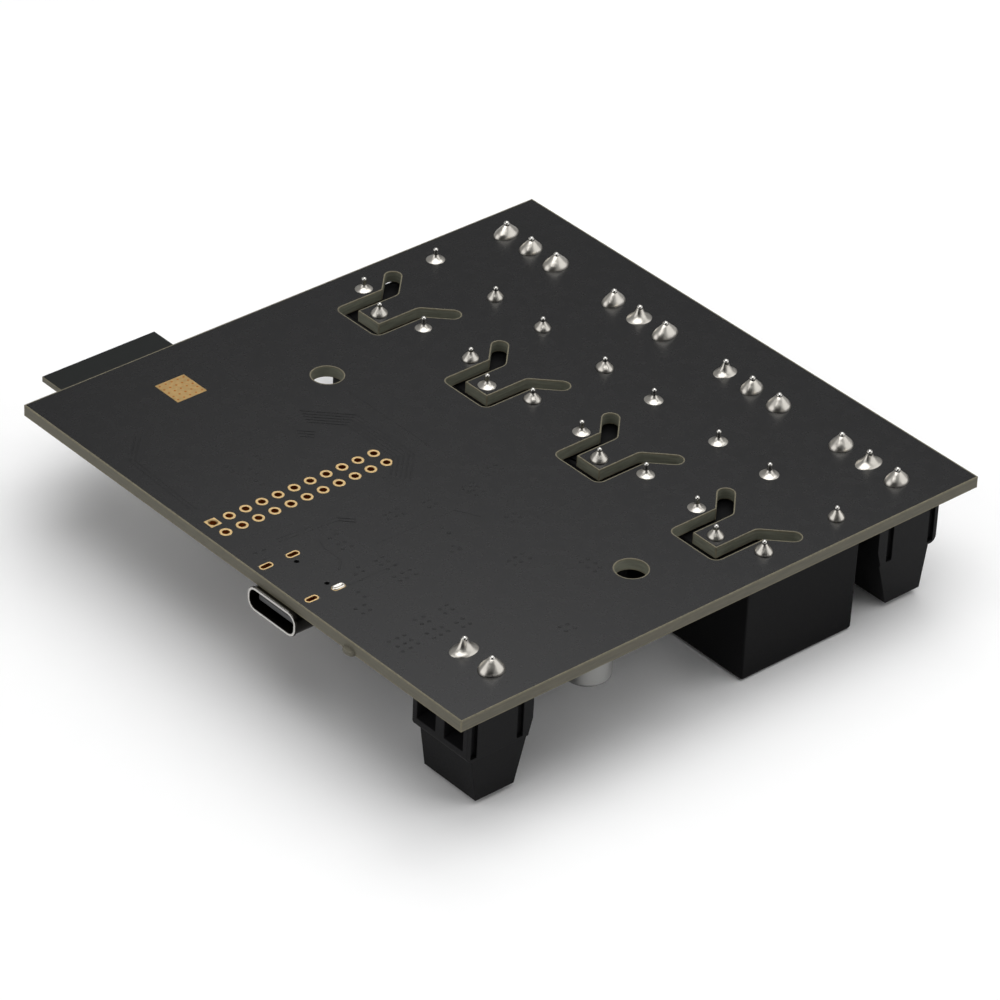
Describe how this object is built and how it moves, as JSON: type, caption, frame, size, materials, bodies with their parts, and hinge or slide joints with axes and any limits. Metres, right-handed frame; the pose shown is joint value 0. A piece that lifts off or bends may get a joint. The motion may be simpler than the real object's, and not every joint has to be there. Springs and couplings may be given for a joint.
{
  "type": "relay module board",
  "caption": "Square black circuit board with sealed relays, screw terminals, a wireless module and a cable socket, lying solder side up.",
  "frame": {"origin": "middle of the base of the part's box, in the plane of the relays' flat tops, which it lies on", "axes": "+X from the cable socket's edge to the relay terminals' edge, +Y from the supply terminal's edge to the edge that the wireless module overhangs, +Z out of the solder side"},
  "size_m": [0.0854, 0.0908, 0.0191],
  "materials": {
    "board": "satin black solder mask over glass laminate",
    "solder": "bright solder",
    "relay_case": "satin moulded plastic",
    "tinned_metal": "tinned",
    "terminal_block": "satin moulded plastic",
    "screw_steel": "zinc plated",
    "module_board": "black solder mask",
    "shield_metal": "drawn nickel silver",
    "socket_steel": "nickel plated",
    "black_plastic": "moulded plastic",
    "can_aluminium": "satin",
    "button_cap": "moulded plastic",
    "ferrite": "ferrite",
    "chip_body": "moulded package",
    "light_lens": "clear",
    "resistor_glaze": "glazed",
    "ceramic_body": "fired ceramic"
  },
  "bodies": {
    "board_assembly": {"board": "board", "solder_joints": "solder", "relay_1": "relay_case", "relay_1_pins": "tinned_metal", "relay_2": "relay_case", "relay_2_pins": "tinned_metal", "relay_3": "relay_case", "relay_3_pins": "tinned_metal", "relay_4": "relay_case", "relay_4_pins": "tinned_metal", "supply_terminal": "terminal_block", "supply_terminal_contacts": "tinned_metal", "relay_terminal_1": "terminal_block", "relay_terminal_1_contacts": "tinned_metal", "relay_terminal_2": "terminal_block", "relay_terminal_2_contacts": "tinned_metal", "relay_terminal_3": "terminal_block", "relay_terminal_3_contacts": "tinned_metal", "relay_terminal_4": "terminal_block", "relay_terminal_4_contacts": "tinned_metal", "wireless_module_board": "module_board", "wireless_module_shield": "shield_metal", "cable_socket_shell": "socket_steel", "cable_socket_insert": "black_plastic", "capacitor_can": "can_aluminium", "capacitor_base": "black_plastic", "reset_button_body": "black_plastic", "boot_button_body": "black_plastic", "power_inductor": "ferrite", "switching_regulator": "chip_body", "linear_regulator": "chip_body", "cable_bridge_chip": "chip_body", "transistors": "chip_body", "diodes": "chip_body", "indicator_lights": "light_lens", "resistors": "resistor_glaze", "ceramic_capacitors": "ceramic_body"},
    "supply_terminal_screw_1": {"supply_terminal_screw_1": "screw_steel"},
    "supply_terminal_screw_2": {"supply_terminal_screw_2": "screw_steel"},
    "relay_terminal_1_screw_1": {"relay_terminal_1_screw_1": "screw_steel"},
    "relay_terminal_1_screw_2": {"relay_terminal_1_screw_2": "screw_steel"},
    "relay_terminal_1_screw_3": {"relay_terminal_1_screw_3": "screw_steel"},
    "relay_terminal_2_screw_1": {"relay_terminal_2_screw_1": "screw_steel"},
    "relay_terminal_2_screw_2": {"relay_terminal_2_screw_2": "screw_steel"},
    "relay_terminal_2_screw_3": {"relay_terminal_2_screw_3": "screw_steel"},
    "relay_terminal_3_screw_1": {"relay_terminal_3_screw_1": "screw_steel"},
    "relay_terminal_3_screw_2": {"relay_terminal_3_screw_2": "screw_steel"},
    "relay_terminal_3_screw_3": {"relay_terminal_3_screw_3": "screw_steel"},
    "relay_terminal_4_screw_1": {"relay_terminal_4_screw_1": "screw_steel"},
    "relay_terminal_4_screw_2": {"relay_terminal_4_screw_2": "screw_steel"},
    "relay_terminal_4_screw_3": {"relay_terminal_4_screw_3": "screw_steel"},
    "reset_button_cap": {"reset_button_cap": "button_cap"},
    "boot_button_cap": {"boot_button_cap": "button_cap"}
  },
  "joints": [
    {"name": "supply_terminal_screw_1_travel", "type": "slide", "parent": "board_assembly", "child": "supply_terminal_screw_1", "axis": [0, 0, 1], "range_m": [0, 0.0038]},
    {"name": "supply_terminal_screw_2_travel", "type": "slide", "parent": "board_assembly", "child": "supply_terminal_screw_2", "axis": [0, 0, 1], "range_m": [0, 0.0038]},
    {"name": "relay_terminal_1_screw_1_travel", "type": "slide", "parent": "board_assembly", "child": "relay_terminal_1_screw_1", "axis": [0, 0, 1], "range_m": [0, 0.0038]},
    {"name": "relay_terminal_1_screw_2_travel", "type": "slide", "parent": "board_assembly", "child": "relay_terminal_1_screw_2", "axis": [0, 0, 1], "range_m": [0, 0.0038]},
    {"name": "relay_terminal_1_screw_3_travel", "type": "slide", "parent": "board_assembly", "child": "relay_terminal_1_screw_3", "axis": [0, 0, 1], "range_m": [0, 0.0038]},
    {"name": "relay_terminal_2_screw_1_travel", "type": "slide", "parent": "board_assembly", "child": "relay_terminal_2_screw_1", "axis": [0, 0, 1], "range_m": [0, 0.0038]},
    {"name": "relay_terminal_2_screw_2_travel", "type": "slide", "parent": "board_assembly", "child": "relay_terminal_2_screw_2", "axis": [0, 0, 1], "range_m": [0, 0.0038]},
    {"name": "relay_terminal_2_screw_3_travel", "type": "slide", "parent": "board_assembly", "child": "relay_terminal_2_screw_3", "axis": [0, 0, 1], "range_m": [0, 0.0038]},
    {"name": "relay_terminal_3_screw_1_travel", "type": "slide", "parent": "board_assembly", "child": "relay_terminal_3_screw_1", "axis": [0, 0, 1], "range_m": [0, 0.0038]},
    {"name": "relay_terminal_3_screw_2_travel", "type": "slide", "parent": "board_assembly", "child": "relay_terminal_3_screw_2", "axis": [0, 0, 1], "range_m": [0, 0.0038]},
    {"name": "relay_terminal_3_screw_3_travel", "type": "slide", "parent": "board_assembly", "child": "relay_terminal_3_screw_3", "axis": [0, 0, 1], "range_m": [0, 0.0038]},
    {"name": "relay_terminal_4_screw_1_travel", "type": "slide", "parent": "board_assembly", "child": "relay_terminal_4_screw_1", "axis": [0, 0, 1], "range_m": [0, 0.0038]},
    {"name": "relay_terminal_4_screw_2_travel", "type": "slide", "parent": "board_assembly", "child": "relay_terminal_4_screw_2", "axis": [0, 0, 1], "range_m": [0, 0.0038]},
    {"name": "relay_terminal_4_screw_3_travel", "type": "slide", "parent": "board_assembly", "child": "relay_terminal_4_screw_3", "axis": [0, 0, 1], "range_m": [0, 0.0038]},
    {"name": "reset_button_press", "type": "slide", "parent": "board_assembly", "child": "reset_button_cap", "axis": [0, 0, 1], "range_m": [0, 0.00025], "stiffness_N_per_m": 5000, "springref_m": -0.00007},
    {"name": "boot_button_press", "type": "slide", "parent": "board_assembly", "child": "boot_button_cap", "axis": [0, 0, 1], "range_m": [0, 0.00025], "stiffness_N_per_m": 5000, "springref_m": -0.00007}
  ]
}
